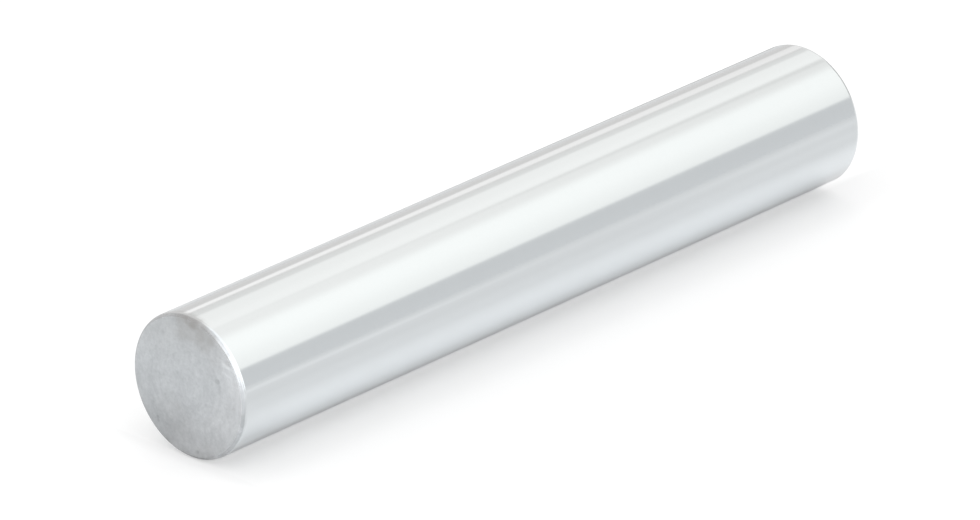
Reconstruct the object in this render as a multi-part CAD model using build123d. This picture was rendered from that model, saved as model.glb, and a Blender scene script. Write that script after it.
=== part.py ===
from build123d import *
import os

# Linear shaft: one plain length of ground, hardened round bar, cut square and
# chamfered at both ends. Millimetres.
#
# Frame: the shaft lies level along X. The origin is on its axis, halfway along
# it, +Z is up. The end that the photograph shows, end A, is at -X.

SHAFT_DIAMETER = 20.0  # ground outside diameter, tolerance class h6
SHAFT_LENGTH = 120.0  # over both end faces
CHAMFER = 0.4  # 45 degree chamfer at each end, along the axis and radially

radius = SHAFT_DIAMETER / 2
half = SHAFT_LENGTH / 2

# Half of the lengthwise section, in the XZ plane: it runs from the axis out to
# the end A face, over the two chamfers and back to the axis at end B.
section = [
    (-half, 0),
    (-half, radius - CHAMFER),
    (-half + CHAMFER, radius),
    (half - CHAMFER, radius),
    (half, radius - CHAMFER),
    (half, 0),
]

with BuildPart() as shaft_part:
    with BuildSketch(Plane.XZ):
        with BuildLine():
            Polyline(*section, close=True)
        make_face()
    revolve(axis=Axis.X, revolution_arc=360)

shaft = shaft_part.part.solid()
shaft.label = "shaft"

os.makedirs("parts", exist_ok=True)
export_step(shaft, "parts/shaft.step")
print("shaft volume mm3", round(shaft.volume, 1), "valid", shaft.is_valid)
print("shaft box", shaft.bounding_box())
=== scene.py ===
import math

import bpy
import numpy as np
from mathutils import Matrix, Vector


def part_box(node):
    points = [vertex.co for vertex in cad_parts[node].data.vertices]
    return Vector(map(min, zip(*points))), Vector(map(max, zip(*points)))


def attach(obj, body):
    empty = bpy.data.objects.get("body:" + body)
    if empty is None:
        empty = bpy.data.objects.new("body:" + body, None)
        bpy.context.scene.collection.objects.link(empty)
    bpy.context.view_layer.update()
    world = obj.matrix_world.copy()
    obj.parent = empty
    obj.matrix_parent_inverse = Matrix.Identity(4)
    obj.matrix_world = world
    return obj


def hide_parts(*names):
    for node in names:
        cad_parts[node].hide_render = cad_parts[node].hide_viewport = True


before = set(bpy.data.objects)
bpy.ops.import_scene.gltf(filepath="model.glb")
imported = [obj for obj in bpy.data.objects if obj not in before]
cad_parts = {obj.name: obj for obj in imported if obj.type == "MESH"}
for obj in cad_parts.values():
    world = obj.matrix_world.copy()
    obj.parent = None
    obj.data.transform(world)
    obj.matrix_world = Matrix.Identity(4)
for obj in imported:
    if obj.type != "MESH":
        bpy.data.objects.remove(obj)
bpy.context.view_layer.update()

# ---------------------------------------------------------------- dimensions
low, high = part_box("shaft")
RADIUS = (high.z - low.z) / 2
HALF = (high.x - low.x) / 2
FLOOR_Z = low.z
MM = 0.001
CHAMFER = 0.4 * MM

scene = bpy.context.scene
rng = np.random.default_rng(20)


# ------------------------------------------------------------- node helpers
class Nodes:
    """A small layer over a node tree, so that a formula reads as one."""

    def __init__(self, tree):
        self.tree = tree
        tree.nodes.clear()

    def add(self, kind, **values):
        node = self.tree.nodes.new(kind)
        for name, value in values.items():
            setattr(node, name, value)
        return node

    def link(self, a, b):
        self.tree.links.new(a, b)

    def put(self, socket, value):
        if isinstance(value, bpy.types.NodeSocket):
            self.link(value, socket)
        else:
            socket.default_value = value

    def math(self, op, a, b=0.0, c=None, clamp=False):
        node = self.add("ShaderNodeMath", operation=op, use_clamp=clamp)
        self.put(node.inputs[0], a)
        if len(node.inputs) > 1:
            self.put(node.inputs[1], b)
        if c is not None:
            self.put(node.inputs[2], c)
        return node.outputs[0]

    def mul(self, a, b):
        return self.math("MULTIPLY", a, b)

    def plus(self, a, b):
        return self.math("ADD", a, b)

    def ramp(self, value, start, end, low=0.0, high=1.0):
        """low below start, high above end, and a smooth step between."""
        node = self.add("ShaderNodeMapRange", interpolation_type="SMOOTHSTEP")
        self.put(node.inputs["Value"], value)
        node.inputs["From Min"].default_value = start
        node.inputs["From Max"].default_value = end
        node.inputs["To Min"].default_value = low
        node.inputs["To Max"].default_value = high
        return node.outputs["Result"]

    def window(self, value, start, end, soft_start, soft_end=None):
        """1 between start and end, 0 outside, over soft edges."""
        soft_end = soft_start if soft_end is None else soft_end
        rise = self.ramp(value, start - soft_start / 2, start + soft_start / 2)
        fall = self.ramp(value, end - soft_end / 2, end + soft_end / 2, 1.0, 0.0)
        return self.mul(rise, fall)

    def mix(self, factor, a, b):
        node = self.add("ShaderNodeMix", data_type="RGBA")
        self.put(node.inputs[0], factor)
        self.put(node.inputs[6], a)
        self.put(node.inputs[7], b)
        return node.outputs[2]

    def blend(self, factor, a, b):
        node = self.add("ShaderNodeMix", data_type="FLOAT")
        self.put(node.inputs[0], factor)
        self.put(node.inputs[2], a)
        self.put(node.inputs[3], b)
        return node.outputs[0]

    def join(self, x, y, z):
        node = self.add("ShaderNodeCombineXYZ")
        self.put(node.inputs[0], x)
        self.put(node.inputs[1], y)
        self.put(node.inputs[2], z)
        return node.outputs[0]

    def noise(self, vector, scale, detail=2.0, roughness=0.5, distortion=0.0):
        node = self.add("ShaderNodeTexNoise")
        self.link(vector, node.inputs["Vector"])
        node.inputs["Scale"].default_value = scale
        node.inputs["Detail"].default_value = detail
        node.inputs["Roughness"].default_value = roughness
        node.inputs["Distortion"].default_value = distortion
        return node.outputs["Fac"]


def new_material(name):
    material = bpy.data.materials.new(name)
    material.use_nodes = True
    return material, Nodes(material.node_tree)


def link_object(name, mesh):
    obj = bpy.data.objects.new(name, mesh)
    scene.collection.objects.link(obj)
    return obj


# ------------------------------------------------------------------- camera
# Fitted to the outline of the shaft: azimuth, elevation, distance and focal
# length in pixels of the 980 x 520 frame. The aim point is a little to the
# left of and below the shaft's middle, which places the shaft in the frame.
AZIMUTH, ELEVATION = math.radians(-47.225), math.radians(24.311)
DISTANCE, FOCAL_PX = 129.03 * RADIUS, 9752.0
back = Vector((
    math.sin(AZIMUTH) * math.cos(ELEVATION),
    -math.cos(AZIMUTH) * math.cos(ELEVATION),
    math.sin(ELEVATION),
))
right = Vector((0, 0, 1)).cross(back).normalized()
up = back.cross(right)
middle = Vector(((low.x + high.x) / 2, (low.y + high.y) / 2, (low.z + high.z) / 2))
per_pixel = DISTANCE / FOCAL_PX
eye = middle + back * DISTANCE
aim = middle - right * 16.00 * per_pixel - up * 13.85 * per_pixel
camera_data = bpy.data.cameras.new("camera")
camera_data.sensor_fit = "HORIZONTAL"
camera_data.sensor_width = 36.0
camera_data.lens = FOCAL_PX * 36.0 / 980.0
camera_data.clip_start = 0.01
camera_data.clip_end = 50.0
camera = bpy.data.objects.new("camera", camera_data)
scene.collection.objects.link(camera)
to_eye = (eye - aim).normalized()
side = Vector((0, 0, 1)).cross(to_eye).normalized()
top = to_eye.cross(side)
camera.matrix_world = Matrix((
    (side.x, top.x, to_eye.x, eye.x),
    (side.y, top.y, to_eye.y, eye.y),
    (side.z, top.z, to_eye.z, eye.z),
    (0, 0, 0, 1),
))
scene.camera = camera

# -------------------------------------------------------------- the shaft
# One turned mesh: the half section below is swept about the X axis. The end
# faces are divided into many rings, so that the shallow facing rings and the
# small pits in them are real.
AROUND = 320
RIM_R = 0.30 * MM  # rounding where the end face meets the chamfer
SHOULDER_R = 0.80 * MM  # rounding where the chamfer meets the ground diameter
RINGS = 84
BODY_STEPS = 12

# Pits of end A: (y, z) of the middle, radius, depth.
PITS = [
    (-5.32 * MM, 2.45 * MM, 0.40 * MM, 0.04 * MM),
    (5.54 * MM, -5.95 * MM, 0.26 * MM, 0.015 * MM),
    (5.46 * MM, -6.40 * MM, 0.24 * MM, 0.015 * MM),
    (-1.60 * MM, -8.72 * MM, 0.28 * MM, 0.03 * MM),
]


def corner(before, at, after, radius, steps):
    """Points and normals of an arc that rounds the corner `at`."""
    before, at, after = (np.array(p, float) for p in (before, at, after))
    u, v = before - at, after - at
    u /= np.linalg.norm(u)
    v /= np.linalg.norm(v)
    half_turn = math.acos(float(np.clip(u @ v, -1, 1))) / 2
    middle_line = (u + v) / np.linalg.norm(u + v)
    centre = at + middle_line * radius / math.sin(half_turn)
    start = at + u * radius / math.tan(half_turn) - centre
    end = at + v * radius / math.tan(half_turn) - centre
    a0, a1 = math.atan2(start[1], start[0]), math.atan2(end[1], end[0])
    turn = (a1 - a0 + math.pi) % (2 * math.pi) - math.pi
    out = []
    for k in range(steps + 1):
        a = a0 + turn * k / steps
        n = np.array((math.cos(a), math.sin(a)))
        out.append((centre + radius * n, n))
    return out


# (x, r) and normal of the half section of one end, from the axis outwards,
# with x counted from the end face towards the middle of the shaft.
face_rim = (0.0, RADIUS - CHAMFER)
chamfer_end = (CHAMFER, RADIUS)
rim_arc = corner((0.0, 0.0), face_rim, chamfer_end, RIM_R, 7)
shoulder_arc = corner(face_rim, chamfer_end, (0.02, RADIUS), SHOULDER_R, 12)
flat_radius = rim_arc[0][0][1]
section = []
for i in range(1, RINGS + 1):
    section.append(((0.0, flat_radius * i / (RINGS + 1)), (-1.0, 0.0), "face"))
for p, n in rim_arc:
    section.append((tuple(p), tuple(n), "chamfer"))
slope = (-math.sqrt(0.5), math.sqrt(0.5))
for k in (1, 2):
    p = rim_arc[-1][0] + (shoulder_arc[0][0] - rim_arc[-1][0]) * k / 3
    section.append((tuple(p), slope, "chamfer"))
for p, n in shoulder_arc:
    section.append((tuple(p), tuple(n), "chamfer"))
body_start = shoulder_arc[-1][0][0]
for k in range(1, BODY_STEPS + 1):
    x = body_start + (HALF - body_start) * k / BODY_STEPS
    section.append(((x, RADIUS), (0.0, 1.0), "body"))

rings = []  # (x, r, normal x, normal r, kind)
for (x, r), (nx, nr), kind in section:
    rings.append((-HALF + x, r, nx, nr, kind))
for (x, r), (nx, nr), kind in reversed(section[:-1]):
    rings.append((HALF - x, r, -nx, nr, kind))

angles = np.arange(AROUND) * (2 * math.pi / AROUND)
ca, sa = np.cos(angles), np.sin(angles)


def sink(y, z, end):
    """How far the end face lies below its plane at (y, z)."""
    r = np.hypot(y, z)
    swing = 2 * math.pi * r / (0.95 * MM) + 1.4 * np.sin(2 * math.pi * r / (3.3 * MM))
    fade = np.clip((flat_radius - r) / (0.5 * MM), 0, 1)
    fade = fade * (0.55 + 0.45 * np.sin(3 * np.arctan2(y, z) + 9.0 * r / RADIUS)) * np.clip(r / (4 * MM), 0.2, 1)
    depth = 0.0025 * MM * (0.5 - 0.5 * np.cos(swing)) * fade
    if end < 0:
        for py, pz, pr, deep in PITS:
            stretch = np.hypot((y - py) * 1.15, z - pz) / pr
            depth = depth + deep * np.clip(1 - stretch ** 2, 0, 1) ** 1.5
    return depth


points, normals = [], []
points.append((-HALF, 0.0, 0.0))
normals.append((-1.0, 0.0, 0.0))
for x, r, nx, nr, kind in rings:
    y, z = r * ca, r * sa
    if kind == "face":
        end = -1.0 if x < 0 else 1.0
        step = 0.01 * MM
        deep = sink(y, z, end)
        sy = (sink(y + step, z, end) - sink(y - step, z, end)) / (2 * step)
        sz = (sink(y, z + step, end) - sink(y, z - step, end)) / (2 * step)
        length = np.sqrt(1 + sy ** 2 + sz ** 2)
        for k in range(AROUND):
            points.append((x - end * deep[k], y[k], z[k]))
            normals.append((end / length[k], sy[k] / length[k], sz[k] / length[k]))
    else:
        for k in range(AROUND):
            points.append((x, y[k], z[k]))
            normals.append((nx, nr * ca[k], nr * sa[k]))
points.append((HALF, 0.0, 0.0))
normals.append((1.0, 0.0, 0.0))
points = np.array(points)
normals = np.array(normals)
points += np.array((middle.x, middle.y, middle.z))

# A flat map of the surface: the ground diameter as one rectangle, and each end
# with its chamfer as one disc.
path = [0.0]
for (x0, r0), _, _ in [((0.0, 0.0), None, None)] + section[:-1]:
    (x1, r1) = section[len(path) - 1][0]
    path.append(path[-1] + math.hypot(x1 - x0, r1 - r0))
path = path[1:]
cap_length = path[RINGS + len(rim_arc) + 2 + len(shoulder_arc) - 1]
DISC_A, DISC_B, DISC = (0.255, 0.765), (0.745, 0.765), 0.225
RUN, AROUND_RUN, MARGIN = 0.97, 0.97 * 2 * math.pi * RADIUS / (2 * HALF), 0.015


def on_disc(k, j):
    """Map position of ring k at step j of an end."""
    near = k < len(section)
    reach = path[k] if near else path[len(rings) - 1 - k]
    a = 2 * math.pi * j / AROUND
    cx, cy = DISC_A if near else DISC_B
    return (cx + DISC * reach / cap_length * math.cos(a), cy + DISC * reach / cap_length * math.sin(a))


def on_side(k, j):
    return (MARGIN + RUN * (rings[k][0] + HALF) / (2 * HALF), MARGIN + AROUND_RUN * j / AROUND)


count = len(rings)
faces, slots, uvs = [], [], []
last_point = len(points) - 1


def ring_start(k):
    return 1 + k * AROUND


for j in range(AROUND):
    n = (j + 1) % AROUND
    faces.append((0, ring_start(0) + n, ring_start(0) + j))
    uvs += [DISC_A, on_disc(0, j + 1), on_disc(0, j)]
    slots.append(1)
for k in range(count - 1):
    a, b = ring_start(k), ring_start(k + 1)
    kinds = {rings[k][4], rings[k + 1][4]}
    slot = 0 if "body" in kinds else 1 if "face" in kinds else 2
    at = on_side if slot == 0 else on_disc
    for j in range(AROUND):
        n = (j + 1) % AROUND
        faces.append((a + j, a + n, b + n, b + j))
        uvs += [at(k, j), at(k, j + 1), at(k + 1, j + 1), at(k + 1, j)]
        slots.append(slot)
for j in range(AROUND):
    n = (j + 1) % AROUND
    faces.append((ring_start(count - 1) + j, ring_start(count - 1) + n, last_point))
    uvs += [on_disc(count - 1, j), on_disc(count - 1, j + 1), DISC_B]
    slots.append(1)

mesh = bpy.data.meshes.new("ground_shaft")
mesh.from_pydata([tuple(p) for p in points], [], faces)
flat_map = mesh.uv_layers.new(name="OFBake")
flat_map.data.foreach_set("uv", np.array(uvs, dtype=np.float32).ravel())
mesh.polygons.foreach_set("material_index", slots)
mesh.polygons.foreach_set("use_smooth", [True] * len(faces))
mesh.update()
mesh.normals_split_custom_set_from_vertices([tuple(n) for n in normals])
shaft = link_object("ground_shaft", mesh)


# ------------------------------------------------------------- materials
def place(n):
    """Object coordinates as one vector and as x, y, z."""
    coords = n.add("ShaderNodeTexCoord").outputs["Object"]
    split = n.add("ShaderNodeSeparateXYZ")
    n.link(coords, split.inputs[0])
    return coords, split.outputs[0], split.outputs[1], split.outputs[2]


CHROME = ((0.602, 0.627, 0.6285, 1), (0.903, 0.938, 0.9395, 1))
STEEL_LOW, STEEL_HIGH = (0.325, 0.345, 0.355, 1), (0.705, 0.728, 0.740, 1)
# Dark colour of the stains and of the painted shade on end A
DARK_STAIN_AND_SHADE = (0.34, 0.335, 0.325, 1)
PITTED = (0.16, 0.17, 0.18, 1)


def metal(n):
    shader = n.add("ShaderNodeBsdfPrincipled")
    n.link(shader.outputs[0], n.add("ShaderNodeOutputMaterial").inputs["Surface"])
    shader.inputs["Metallic"].default_value = 1.0
    return shader


def relief(n, shader, height, strength, distance):
    bump = n.add("ShaderNodeBump")
    bump.inputs["Strength"].default_value = strength
    bump.inputs["Distance"].default_value = distance
    n.link(height, bump.inputs["Height"])
    n.link(bump.outputs[0], shader.inputs["Normal"])


def centred(n, noise, amount):
    """A noise about zero, times an amount."""
    return n.math("MULTIPLY_ADD", noise, amount, -0.5 * amount)


def total(n, *values):
    result = values[0]
    for value in values[1:]:
        result = n.plus(result, value)
    return result


def edge_top_shade(n, x, y, z):
    """Painted shade on the edge of end A, over the top and a little to the left."""
    turn = n.mul(n.math("ARCTAN2", n.mul(y, -1.0), z), 180 / math.pi)
    uneven = n.noise(n.join(x, n.mul(y, 700.0), n.mul(z, 700.0)), 1.0, 3.0, 0.6)
    turn = n.plus(turn, centred(n, uneven, 22.0))
    return n.mul(n.window(turn, -44.0, 12.0, 16.0, 16.0), n.ramp(x, -HALF + 1.4 * MM, -HALF + 1.6 * MM, 1.0, 0.0))


# Hard chrome on the ground diameter. The grinding marks run round the bar, so
# the pattern is fine along X and long round the circumference.
body_material, n = new_material("ground_chrome")
coords, x, y, z = place(n)
shader = metal(n)
marks = n.noise(n.join(n.mul(x, 5200.0), n.mul(y, 130.0), n.mul(z, 130.0)), 1.0, 3.0, 0.6)
broad = n.noise(n.join(n.mul(x, 900.0), n.mul(y, 60.0), n.mul(z, 60.0)), 1.0, 2.0)
grain = n.noise(coords, 3600.0, 2.0, 0.6)
cloud = n.noise(coords, 190.0, 3.0, 0.55)
tone = total(n, 0.5, centred(n, marks, 0.040), centred(n, grain, 0.060), centred(n, cloud, 0.025))
plated = n.mix(tone, *CHROME)
# Painted shade over the top of end A's edge, in the dark colour
edge_shade = n.mul(edge_top_shade(n, x, y, z), n.ramp(x, -HALF + 0.5 * MM, -HALF + 1.5 * MM, 0.34, 0.0))
n.link(n.mix(edge_shade, plated, DARK_STAIN_AND_SHADE), shader.inputs["Base Color"])
n.link(total(n, 0.125, centred(n, broad, 0.030), centred(n, marks, 0.030)), shader.inputs["Roughness"])
relief(n, shader, marks, 0.12, 0.004 * MM)


# Dark dabs on end A: right and up of the middle, size (in radii), strength
DABS = [
    (0.10, 0.92, 0.10, 0.20), (-0.04, 0.93, 0.08, 0.04), (0.30, 0.87, 0.09, 0.04), (0.23, 0.78, 0.11, 0.16),
    (0.42, 0.78, 0.09, 0.16), (-0.15, 0.72, 0.16, 0.12), (0.72, 0.56, 0.06, 0.20), (-0.29, -0.17, 0.05, 0.16),
    (-0.19, -0.35, 0.07, 0.10), (0.40, -0.32, 0.06, 0.10), (0.38, -0.80, 0.17, 0.12), (0.19, -0.88, 0.14, 0.12),
]
# Wiped smears near its right rim: from and to (right, up), half width, strength
SMEARS = [
    (0.60, 0.52, 0.82, 0.48, 0.035, 1.0), (0.56, 0.58, 0.74, 0.50, 0.025, 0.8), (0.60, 0.42, 0.80, 0.36, 0.030, 0.6),
]


def smear(n, right, up, edge, r0, u0, r1, u1, wide, amount):
    """A straight smear with frayed edges, from (r0, u0) to (r1, u1)."""
    length = math.hypot(r1 - r0, u1 - u0)
    cr, cu = (r1 - r0) / length, (u1 - u0) / length
    off_r, off_u = n.plus(right, -r0), n.plus(up, -u0)
    along = n.plus(n.mul(off_r, cr), n.mul(off_u, cu))
    beside = n.math("ABSOLUTE", n.plus(n.mul(off_r, -cu), n.mul(off_u, cr)))
    near = n.ramp(n.plus(beside, n.mul(edge, 0.2)), 0.3 * wide, wide, amount, 0.0)
    return n.mul(near, n.window(along, 0.0, length, 0.08))


def marks_and_painted_shading(n, x, y, z):
    """Marks of end A with painted shading: how much darker (dark dabs and a streak,
    and painted shade over the top, to the lower left and lower right and along the
    bottom rim) and how much lighter (wiped smears, and a painted highlight near the
    upper right rim and painted light to the right) the steel is, from 0 to 1 each.
    `right` is -Y and `up` is +Z, both in radii; `turn` is the angle from the top towards the right."""
    right, up = n.mul(y, -1 / RADIUS), n.mul(z, 1 / RADIUS)
    out = n.math("SQRT", n.plus(n.mul(right, right), n.mul(up, up)))
    turn = n.mul(n.math("ARCTAN2", right, up), 180 / math.pi)
    here = n.ramp(x, -HALF + 1.4 * MM, -HALF + 1.6 * MM, 1.0, 0.0)
    frayed = n.noise(n.join(n.mul(x, 300.0), n.mul(y, 420.0), n.mul(z, 420.0)), 1.0, 4.0, 0.62)
    edge = centred(n, frayed, 0.34)  # frays the outline of every mark
    ragged, bent = n.plus(out, edge), n.plus(turn, n.mul(edge, 70.0))
    # Painted shade: darker over the top rim and patch, in a low patch, to the lower left and along the bottom rim
    top_rim = n.mul(n.window(bent, -12.0, 16.0, 14.0, 12.0), n.ramp(ragged, 0.82, 0.93))
    top_patch = n.mul(n.window(bent, -10.0, 34.0, 18.0, 14.0), n.window(ragged, 0.66, 0.97, 0.14))
    low_left = n.mul(
        n.ramp(n.plus(n.plus(n.mul(right, -0.28), n.mul(up, -0.95)), edge), 0.10, 0.95),
        n.ramp(right, 1.10, -0.20),
    )
    low_patch = n.ramp(n.plus(n.math("SQRT", n.plus(
        n.math("POWER", n.plus(right, 0.25), 2.0), n.math("POWER", n.plus(up, 0.50), 2.0),
    )), edge), 0.10, 0.48, 1.0, 0.0)
    low_rim = n.mul(n.ramp(n.math("ABSOLUTE", turn), 105.0, 140.0), n.ramp(ragged, 0.84, 0.99))
    streak = n.window(n.plus(n.plus(n.mul(right, 0.80), n.mul(up, -0.60)), edge), 0.02, 0.17, 0.14)
    # The dark sum: the painted shade above, more painted shade towards the top and the lower right, and the streak
    dark = total(
        n, n.mul(top_rim, 0.34), n.mul(top_patch, 0.29), n.mul(low_patch, 0.12), n.mul(low_left, 0.12), n.mul(low_rim, 0.10),
        n.mul(n.ramp(n.plus(up, n.mul(right, -0.15)), 0.25, 0.85), 0.15), n.mul(n.ramp(n.plus(right, n.mul(up, -0.9)), 0.2, 0.95), 0.07),
        n.mul(n.mul(streak, n.ramp(up, 0.15, 0.5)), 0.10),
    )
    for r0, u0, size, amount in DABS:
        off_r, off_u = n.plus(right, -r0), n.plus(up, -u0)
        gap = n.plus(n.math("SQRT", n.plus(n.mul(off_r, off_r), n.mul(off_u, off_u))), n.mul(edge, 0.25))
        dark = n.plus(dark, n.ramp(gap, 0.3 * size, size, amount, 0.0))
    # Painted highlight: lighter near the upper right rim; the wiped smears are added to it
    highlight_and_smears = n.mul(n.window(bent, 40.0, 84.0, 26.0, 24.0), n.window(ragged, 0.80, 1.2, 0.24))
    smears = total(n, *(smear(n, right, up, edge, *values) for values in SMEARS))
    dabs = n.noise(n.join(n.mul(x, 300.0), n.mul(y, 900.0), n.mul(z, 900.0)), 1.0, 3.0, 0.6)
    near_rim = n.mul(n.window(turn, 20.0, 100.0, 24.0, 30.0), n.ramp(out, 0.45, 0.75))
    highlight_and_smears = n.plus(n.mul(highlight_and_smears, 1.1), n.mul(smears, 1.35))
    dark = n.plus(dark, n.mul(n.ramp(dabs, 0.54, 0.70), n.mul(near_rim, 0.16)))
    # Painted light: lighter to the right and in the middle right
    flank = n.mul(n.ramp(n.plus(right, edge), 0.25, 0.95), n.ramp(up, -0.55, 0.35))
    middle_right = n.mul(n.ramp(right, 0.45, 0.80), n.window(up, -0.10, 0.24, 0.24))
    light = total(n, n.mul(highlight_and_smears, 0.12), n.mul(flank, 0.04), n.mul(middle_right, 0.06))
    return n.mul(n.math("MINIMUM", dark, 1.0), here), n.mul(light, here)


def edge_wear_and_highlight(n, x, y, z):
    """Edge of end A lighter on its upper right: partly wear, partly painted highlight."""
    turn = n.mul(n.math("ARCTAN2", n.mul(y, -1.0), z), 180 / math.pi)
    radius = n.math("SQRT", n.plus(n.mul(y, y), n.mul(z, z)))
    uneven = n.noise(n.join(x, n.mul(y, 600.0), n.mul(z, 600.0)), 1.0, 3.0, 0.6)
    turn = n.plus(turn, centred(n, uneven, 16.0))
    worn = n.mul(n.window(turn, 29.0, 72.0, 16.0, 16.0), n.ramp(radius, 0.925 * RADIUS, 0.985 * RADIUS))
    return n.mul(worn, n.ramp(x, -HALF + 1.4 * MM, -HALF + 1.6 * MM, 1.0, 0.0))


def bare_steel(n, coords, x, y, z):
    """Colour and roughness of the cut and faced steel at both ends, with marks and
    painted shade and light on end A, and the fine facing marks, which run in rings about the axis."""
    radius = n.math("SQRT", n.plus(n.mul(y, y), n.mul(z, z)))
    turned = n.noise(n.join(n.mul(radius, 4200.0), n.mul(y, 160.0), n.mul(z, 160.0)), 1.0, 3.0, 0.6)
    swirl = n.noise(n.join(n.mul(radius, 1050.0), n.mul(y, 230.0), n.mul(z, 230.0)), 1.0, 3.0, 0.6)
    mottle = n.noise(coords, 430.0, 5.0, 0.62)
    patch = n.noise(coords, 120.0, 2.0, 0.5)
    speck = n.noise(coords, 1500.0, 2.0, 0.5)
    fleck = n.noise(coords, 2900.0, 2.0, 0.5)
    rings = n.mul(n.plus(swirl, -0.5), n.ramp(radius, 1.0 * MM, 7.0 * MM, 0.06, 0.28))
    tone = total(
        n, 0.5, centred(n, turned, 0.18), rings, centred(n, mottle, 0.49),
        centred(n, patch, 0.12), centred(n, speck, 0.37), centred(n, fleck, 0.27),
    )
    dark, light = marks_and_painted_shading(n, x, y, z)
    colour = n.mix(tone, STEEL_LOW, STEEL_HIGH)
    # Painted light and highlight near the right rim, with the wiped smears
    colour = n.mix(light, colour, (0.90, 0.925, 0.935, 1))
    # Painted highlight, partly wear, on the upper right of end A's edge
    colour = n.mix(n.mul(edge_wear_and_highlight(n, x, y, z), 0.30), colour, (0.90, 0.925, 0.935, 1))
    # Dark marks with painted shade
    colour = n.mix(dark, colour, DARK_STAIN_AND_SHADE)
    for py, pz, pr, deep in PITS:
        off_y, off_z = n.plus(y, -py), n.plus(z, -pz)
        gap = n.math("SQRT", n.plus(n.mul(off_y, off_y), n.mul(off_z, off_z)))
        here = n.ramp(x, -HALF + 1.4 * MM, -HALF + 1.6 * MM, 1.0, 0.0)
        colour = n.mix(n.mul(n.ramp(gap, 0.40 * pr, 1.40 * pr, 0.28, 0.0), here), colour, PITTED)
    rough = total(
        n, 0.42, centred(n, mottle, 0.16), centred(n, turned, 0.08), n.mul(dark, 0.06), n.mul(light, -0.16),
    )
    return colour, rough, n.plus(turned, n.mul(mottle, 0.6))


# Faced steel of the two ends
face_material, n = new_material("faced_end")
coords, x, y, z = place(n)
shader = metal(n)
colour, rough, height = bare_steel(n, coords, x, y, z)
n.link(colour, shader.inputs["Base Color"])
n.link(rough, shader.inputs["Roughness"])
relief(n, shader, height, 0.25, 0.01 * MM)

# The chamfers: bare steel like the end, up to the chrome of the diameter
chamfer_material, n = new_material("turned_chamfer")
coords, x, y, z = place(n)
shader = metal(n)
colour, rough, height = bare_steel(n, coords, x, y, z)
radius = n.math("SQRT", n.plus(n.mul(y, y), n.mul(z, z)))
lines = n.noise(n.join(n.mul(radius, 16000.0), n.mul(y, 250.0), n.mul(z, 250.0)), 1.0, 2.0)
worn = n.noise(coords, 700.0, 3.0, 0.6)
outer = n.ramp(n.plus(radius, centred(n, worn, 0.10 * MM)), RADIUS - 0.14 * MM, RADIUS - 0.03 * MM)
plated = n.mix(total(n, 0.5, centred(n, worn, 0.12)), *CHROME)
# Painted shade over the top of end A's edge on the chamfer
plated = n.mix(n.mul(edge_top_shade(n, x, y, z), 0.28), plated, DARK_STAIN_AND_SHADE)
n.link(n.mix(outer, colour, plated), shader.inputs["Base Color"])
cut = total(n, n.mul(rough, 0.62), centred(n, lines, 0.06))
n.link(n.blend(outer, cut, 0.14), shader.inputs["Roughness"])
relief(n, shader, lines, 0.15, 0.004 * MM)

for material in (body_material, face_material, chamfer_material):
    shaft.data.materials.append(material)

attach(shaft, "root")
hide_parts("shaft")

# --------------------------------------------------------------- the studio
# A white room: the world lights the floor evenly from all sides, and a light
# tent round the shaft carries the softboxes that show in its polished side.
world = bpy.data.worlds.new("studio")
scene.world = world
world.use_nodes = True
w = Nodes(world.node_tree)
background = w.add("ShaderNodeBackground")
background.inputs["Color"].default_value = (1.0, 1.0, 1.0, 1)
# a little stronger from -X, where the camera stands
sky = w.add("ShaderNodeSeparateXYZ")
w.link(w.add("ShaderNodeTexCoord").outputs["Generated"], sky.inputs[0])
w.link(w.math("MULTIPLY_ADD", sky.outputs[0], -0.04, 1.32), background.inputs["Strength"])
w.link(background.outputs[0], w.add("ShaderNodeOutputWorld").inputs["Surface"])

TENT_R, TENT_X = 0.60, 1.30
steps = 96
tent_points, tent_faces = [], []
a0 = math.asin((FLOOR_Z - middle.z + 0.0005) / TENT_R)
for k in range(steps + 1):
    a = a0 + (math.pi - 2 * a0) * k / steps
    for xx in (-TENT_X, TENT_X):
        tent_points.append((xx, -TENT_R * math.cos(a), TENT_R * math.sin(a)))
for k in range(steps):
    tent_faces.append((2 * k, 2 * k + 1, 2 * k + 3, 2 * k + 2))
tent_faces.append(tuple(range(0, 2 * steps + 2, 2)))
tent_faces.append(tuple(range(1, 2 * steps + 3, 2)))
tent_mesh = bpy.data.meshes.new("light_tent")
tent_mesh.from_pydata(tent_points, [], tent_faces)
tent = link_object("light_tent", tent_mesh)
tent_material, n = new_material("light_tent")
tent_material.cycles.emission_sampling = "NONE"
coords, x, y, z = place(n)
angle = n.mul(n.math("ARCTAN2", z, n.mul(y, -1.0)), 180 / math.pi)
reach = n.math("ABSOLUTE", x)
# 0 where the near end of the shaft looks, 1 where the far end does
along = n.math("MULTIPLY_ADD", reach, 1 / 0.20, -0.44 / 0.20, clamp=True)


def drifting(by):
    """The angle, less a drift of `by` degrees from the near to the far end."""
    return n.math("MULTIPLY_ADD", along, -by, angle)


def card(start, end, soft_start, soft_end, drift_start=0.0, drift_end=0.0):
    rise = n.ramp(drifting(drift_start), start - soft_start / 2, start + soft_start / 2)
    fall = n.ramp(drifting(drift_end), end - soft_end / 2, end + soft_end / 2, 1.0, 0.0)
    return n.mul(rise, fall)


def tinted(strength, tint):
    """A light's strength, a number or a socket, times its tint."""
    if isinstance(strength, float):
        return tuple(strength * t for t in tint) + (1.0,)
    return n.join(*(n.mul(strength, t) for t in tint))


NEUTRAL, COOL = (1.003, 1.0, 0.991), (0.994, 1.0, 1.025)
WARM, WARMER = (1.015, 1.0, 0.991), (1.030, 1.0, 0.995)
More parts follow.
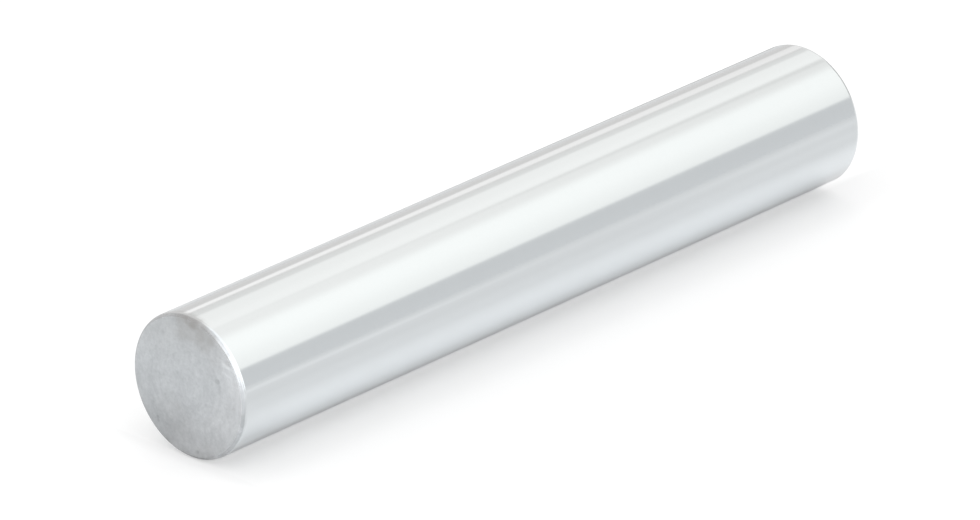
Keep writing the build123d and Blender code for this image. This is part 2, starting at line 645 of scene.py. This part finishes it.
# The white wall behind the cards, a little lighter low down
light = n.mix(n.ramp(angle, 0.0, 22.0), tinted(0.744, COOL), tinted(0.718, COOL))
rear = n.mul(n.ramp(angle, 167.0, 179.0, 0.738, 0.766), n.blend(along, 1.0, 0.978))
light = n.mix(n.ramp(angle, 60.0, 120.0), light, tinted(rear, WARMER))
# Ceiling between the cards
light = n.mix(card(40.0, 148.5, 3.0, 4.0, 0.0, -5.5), light, tinted(0.862, WARM))
# Narrow strip light high at the back
strip = n.blend(along, 1.152, n.ramp(angle, 146.0, 158.0, 1.05, 0.965))
light = n.mix(card(152.0, 160.8, 2.0, 3.0, -6.0, 2.3), light, tinted(strip, WARMER))
# Ceiling panel
panel = n.ramp(angle, 106.0, 124.0, 1.124, 1.078)
light = n.mix(card(98.4, 136.7, 6.5, 3.5, 7.4, -3.4), light, tinted(panel, WARM))
# Lighter stretch of ceiling between the panel and the main softbox
between = n.blend(along, 1.064, 0.982)
light = n.mix(card(70.0, 100.0, 6.0, 5.0, 0.0, -2.0), light, tinted(between, WARM))
# Main softbox
soft = n.mul(n.ramp(angle, 28.0, 64.0, 1.112, 1.223), n.blend(along, 1.0, 0.968))
light = n.mix(card(25.8, 79.6, 3.2, 17.0, 3.0, 5.4), light, tinted(soft, NEUTRAL))
# The softbox hangs lower in front of end A, where it shows in the chamfer only
low_part = n.mul(n.window(x, -0.62, 0.33, 0.08, 0.10), n.window(angle, -12.0, 98.0, 6.0, 20.0))
low_level = n.mul(n.ramp(angle, -14.0, 10.0, 1.08, 1.45), n.ramp(angle, 48.0, 84.0, 1.0, 0.83))
light = n.mix(low_part, light, tinted(low_level, COOL))
# Key card beside the camera, which shows only in the chamfer of end A
key = n.mul(n.window(x, -1.10, -0.58, 0.05, 0.08), n.window(angle, -6.0, 86.0, 3.0, 14.0))
light = n.mix(key, light, tinted(1.60, COOL))
# Gaps low in both give the shaft a darker edge where it is seen from behind
gaps = n.plus(n.window(x, -0.645, -0.42, 0.05), n.window(x, -0.08, 0.08, 0.05))
gaps = n.mul(gaps, n.window(angle, -20.0, 12.0, 4.0, 9.0))
light = n.mix(gaps, light, tinted(0.82, COOL))
# Grey flag over the near end, which shows only in the top of that chamfer
flag = n.mul(n.window(x, -1.20, 0.37, 0.08, 0.10), n.window(angle, 106.0, 200.0, 20.0, 8.0))
light = n.mix(flag, light, tinted(0.86, WARMER))
# End walls, lighter low down and at end A's side
end_level = n.ramp(x, -0.5, 0.5, 1.0, 0.70)
end_wall = n.mix(n.ramp(angle, 70.0, 110.0), tinted(n.mul(end_level, 1.05), NEUTRAL), tinted(n.mul(end_level, 0.80), WARM))
# A grey disc in the middle of the wall at -X, in line with the shaft
off_axis = n.math("SQRT", n.plus(n.mul(y, y), n.mul(z, z)))
disc = n.mul(n.ramp(off_axis, 0.13, 0.20, 1.0, 0.0), n.ramp(x, -0.5, 0.5, 1.0, 0.0))
end_wall = n.mix(disc, end_wall, tinted(0.74, NEUTRAL))
light = n.mix(n.ramp(reach, TENT_X - 0.002, TENT_X - 0.001), light, end_wall)
emission = n.add("ShaderNodeEmission")
n.link(light, emission.inputs["Color"])
emission.inputs["Strength"].default_value = 1.0
n.link(emission.outputs[0], n.add("ShaderNodeOutputMaterial").inputs["Surface"])
tent.data.materials.append(tent_material)
for flag_name in ("visible_camera", "visible_diffuse", "visible_transmission", "visible_volume_scatter", "visible_shadow"):
    setattr(tent, flag_name, False)


def plane(name, height, half):
    m = bpy.data.meshes.new(name)
    m.from_pydata(
        [(-half, -half, height), (half, -half, height), (half, half, height), (-half, half, height)],
        [], [(0, 1, 2, 3)],
    )
    return link_object(name, m)


# The floor that the camera sees, a sheet lit from below as well as from above,
# and the same floor as the metal mirrors it.
floor = plane("floor", FLOOR_Z, 6.0)
floor_material, n = new_material("floor")
shader = n.add("ShaderNodeBsdfPrincipled")
out = n.add("ShaderNodeOutputMaterial")
n.link(shader.outputs[0], out.inputs["Surface"])
shader.inputs["Base Color"].default_value = (0.52, 0.52, 0.52, 1)
shader.inputs["Roughness"].default_value = 1.0
shader.inputs["Specular IOR Level"].default_value = 0.0
shader.inputs["Emission Color"].default_value = (1, 1, 1, 1)
coords, x, y, z = place(n)
away = n.math("ABSOLUTE", y)
front = n.math("MULTIPLY_ADD", x, -1.0, -HALF)
# The glow is painted light and shade: stronger close along the shaft, which lightens its shadow, a little stronger
# beyond 1.45 radii out and ahead of end A, and weaker just in front of end A
glow = total(
    n, 0.382,
    n.ramp(away, 1.0 * RADIUS, 1.45 * RADIUS, 0.0, 0.026),
    n.mul(n.ramp(away, 0.30 * RADIUS, 0.48 * RADIUS, 0.08, 0.0), n.ramp(front, -0.3 * RADIUS, 0.0, 1.0, 0.0)),
    n.ramp(front, 0.0, 0.32 * RADIUS, 0.0, 0.046),
    n.mul(n.ramp(front, -0.02 * RADIUS, 0.02 * RADIUS), n.ramp(front, 0.05 * RADIUS, 0.22 * RADIUS, -0.015, 0.0)),
)
n.link(glow, shader.inputs["Emission Strength"])
floor_material.cycles.emission_sampling = "NONE"
floor.data.materials.append(floor_material)
floor.visible_glossy = False

mirrored = plane("floor_in_reflections", FLOOR_Z + 0.01 * MM, 6.0)
mirror_material, n = new_material("floor_in_reflections")
shader = n.add("ShaderNodeBsdfPrincipled")
out = n.add("ShaderNodeOutputMaterial")
n.link(shader.outputs[0], out.inputs["Surface"])
coords, x, y, z = place(n)
away = n.math("ABSOLUTE", y)
# Its grey is painted light and shade, seen only in the metal: lighter near the shaft and darker further out, with a
# painted shadow along the shaft
grey = n.mul(
    n.ramp(away, 1.05 * RADIUS, 2.25 * RADIUS, 1.006, 0.781),
    n.ramp(away, 1.8 * RADIUS, 4.0 * RADIUS, 1.0, 0.888),
)
# painted shadow, darkest a little way out from the line where the shaft touches it
grey = n.mul(grey, n.mul(
    n.ramp(away, 0.36 * RADIUS, 0.53 * RADIUS, 1.06, 0.762),
    n.mul(n.ramp(away, 0.53 * RADIUS, 0.65 * RADIUS, 1.0, 1.116), n.ramp(away, 0.62 * RADIUS, 0.97 * RADIUS, 1.0, 1.108)),
))
# painted shade: behind the shaft it falls off towards the far end
behind = n.mul(
    n.mul(n.ramp(y, 0.0, 3.0 * RADIUS, 1.0, 0.91), n.ramp(x, -2.0 * RADIUS, 6.5 * RADIUS, 1.015, 0.938)),
    n.mul(n.ramp(y, 4.4 * RADIUS, 8.2 * RADIUS, 1.0, 1.14), n.ramp(y, 9.0 * RADIUS, 14.0 * RADIUS, 1.0, 0.922)),
)
behind = n.mul(behind, n.ramp(y, 4.4 * RADIUS, 7.4 * RADIUS, 0.976, 1.0))
fall = n.mul(n.ramp(x, 0.5 * RADIUS, 9.5 * RADIUS, 1.0, 0.64), n.ramp(x, 6.5 * RADIUS, 10.0 * RADIUS, 1.0, 0.85))
behind = n.mul(behind, n.blend(n.ramp(y, 4.3 * RADIUS, 7.4 * RADIUS), fall, 1.0))
grey = n.mul(grey, n.blend(n.ramp(y, 0.2 * RADIUS, 1.5 * RADIUS), 1.0, behind))
# painted shade in front of the far end
before = n.ramp(x, HALF - 1.8 * RADIUS, HALF + 0.6 * RADIUS, 1.0, 0.915)
close = n.mul(n.ramp(y, -0.55 * RADIUS, -0.40 * RADIUS, 1.0, 0.0), n.ramp(y, -3.2 * RADIUS, -1.8 * RADIUS))
grey = n.mul(grey, n.blend(close, 1.0, before))
# no sheet edge behind end A: it stays light there
corner_side = n.mul(
    n.ramp(x, -HALF - 0.7 * RADIUS, -HALF + 0.2 * RADIUS, 1.0, 0.0), n.ramp(y, 0.2 * RADIUS, 1.4 * RADIUS),
)
grey = n.blend(corner_side, grey, 0.79)
# a paler line where the sheet ends, and painted shade in front of end A
line = n.plus(
    n.mul(n.window(y, -13.0 * RADIUS, -7.6 * RADIUS, 1.8 * RADIUS), n.ramp(x, 3.5 * RADIUS, 8.5 * RADIUS, 0.145, 0.028)),
    n.mul(n.window(y, -8.6 * RADIUS, -5.4 * RADIUS, 1.5 * RADIUS), n.ramp(x, 6.0 * RADIUS, 10.0 * RADIUS, 0.0, 0.05)),
)
grey = n.mul(grey, n.plus(1.0, line))
grey = n.mul(grey, n.mul(n.ramp(y, -13.0 * RADIUS, -5.0 * RADIUS, 0.957, 0.988), n.ramp(y, -24.0 * RADIUS, -13.0 * RADIUS, 0.98, 1.0)))
near_end = n.mul(
    n.ramp(x, -HALF - 1.5 * RADIUS, -HALF - 0.1 * RADIUS),
    n.ramp(x, -HALF - 0.1 * RADIUS, -HALF + 1.0 * RADIUS, 1.0, 0.0),
)
near_end = n.mul(near_end, n.ramp(y, -0.50 * RADIUS, -0.20 * RADIUS))
grey = n.mul(grey, n.math("MULTIPLY_ADD", near_end, -0.30, 1.0))
# painted shade off the front corner of end A, and a painted lighter spot before it
corner = n.mul(
    n.window(x, -HALF - 0.7 * RADIUS, -HALF + 0.9 * RADIUS, 0.5 * RADIUS, 1.6 * RADIUS),
    n.window(y, -1.9 * RADIUS, -0.74 * RADIUS, 0.6 * RADIUS, 0.16 * RADIUS),
)
grey = n.mul(grey, n.math("MULTIPLY_ADD", corner, -0.12, 1.0))
spot = n.mul(
    n.window(x, -HALF - 0.9 * RADIUS, -HALF - 0.02 * RADIUS, 0.4 * RADIUS, 0.25 * RADIUS),
    n.window(y, -1.28 * RADIUS, -0.80 * RADIUS, 0.3 * RADIUS, 0.2 * RADIUS),
)
grey = n.mul(grey, n.math("MULTIPLY_ADD", spot, 0.09, 1.0))
# even and light to the right in front of it
ahead = n.mul(n.ramp(x, -HALF - 1.3 * RADIUS, -HALF - 0.3 * RADIUS, 1.0, 0.0), n.ramp(y, -1.3 * RADIUS, -0.4 * RADIUS, 1.0, 0.0))
grey = n.blend(ahead, grey, n.ramp(y, -2.6 * RADIUS, -1.2 * RADIUS, 0.85, 0.79))
bluer = n.mul(n.ramp(away, 0.45 * RADIUS, 1.0 * RADIUS, 1.008, 1.02), n.ramp(y, 0.0, 4.0 * RADIUS, 1.0, 0.986))
n.link(n.join(n.mul(grey, n.ramp(away, 0.45 * RADIUS, 1.0 * RADIUS, 1.015, 1.0)), grey, n.mul(grey, bluer)), shader.inputs["Base Color"])
shader.inputs["Roughness"].default_value = 1.0
shader.inputs["Specular IOR Level"].default_value = 0.0
mirrored.data.materials.append(mirror_material)
for flag_name in ("visible_camera", "visible_diffuse", "visible_transmission", "visible_volume_scatter", "visible_shadow"):
    setattr(mirrored, flag_name, False)

# ------------------------------------------------------------ colour and ends
scene.view_settings.view_transform = "Standard"
scene.view_settings.look = "None"
scene.view_settings.exposure = 0.0
scene.view_settings.gamma = 1.0
scene.cycles.use_denoising = True

bpy.context.view_layer.update()
